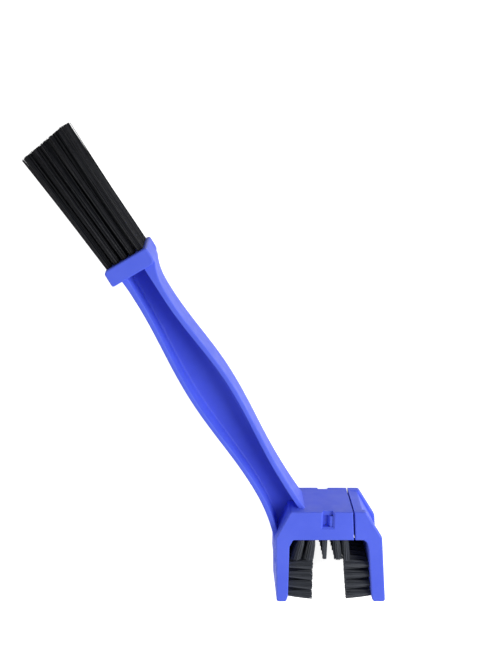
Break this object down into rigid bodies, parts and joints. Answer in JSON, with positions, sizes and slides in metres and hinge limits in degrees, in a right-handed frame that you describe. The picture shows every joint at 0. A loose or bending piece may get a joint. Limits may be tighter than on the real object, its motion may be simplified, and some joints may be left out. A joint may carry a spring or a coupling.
{
  "type": "bicycle chain cleaning brush",
  "caption": "Hand brush with a U-shaped bristle-lined head that straddles a chain, a side jaw that slides off, and a long brush at the handle's far end.",
  "frame": {"origin": "the closed end of the chain slot, under the crown bar and midway between the two legs, on the resting face", "axes": "+X across the head from the fixed leg to the side jaw, +Y from the legs' tips towards the handle, +Z from the resting face to the front"},
  "size_m": [0.1533, 0.205, 0.03],
  "materials": {
    "blue_plastic": "satin moulded polypropylene",
    "black_bristle": "crimp-free nylon filament",
    "anchor_wire": "flat drawn wire"
  },
  "bodies": {
    "handle": {"handle_body": "blue_plastic", "tail_tufts_1": "black_bristle", "tail_tufts_2": "black_bristle", "tail_tufts_3": "black_bristle", "tail_tufts_4": "black_bristle", "tail_tufts_5": "black_bristle", "crown_tufts_1": "black_bristle", "crown_tufts_2": "black_bristle", "crown_tufts_3": "black_bristle", "crown_tufts_4": "black_bristle", "crown_tufts_5": "black_bristle", "leg_tufts_1": "black_bristle", "leg_tufts_2": "black_bristle", "leg_tufts_3": "black_bristle", "leg_tufts_4": "black_bristle", "tail_anchors": "anchor_wire", "crown_anchors": "anchor_wire", "leg_anchors": "anchor_wire"},
    "jaw": {"side_jaw": "blue_plastic", "front_latch_finger": "blue_plastic", "back_latch_finger": "blue_plastic", "jaw_tufts_1": "black_bristle", "jaw_tufts_2": "black_bristle", "jaw_tufts_3": "black_bristle", "jaw_tufts_4": "black_bristle", "jaw_anchors": "anchor_wire"}
  },
  "joints": [
    {"name": "jaw_slide", "type": "slide", "parent": "handle", "child": "jaw", "axis": [1, 0, 0], "range_m": [0, 0.015], "deforming": ["front_latch_finger", "back_latch_finger"]}
  ]
}
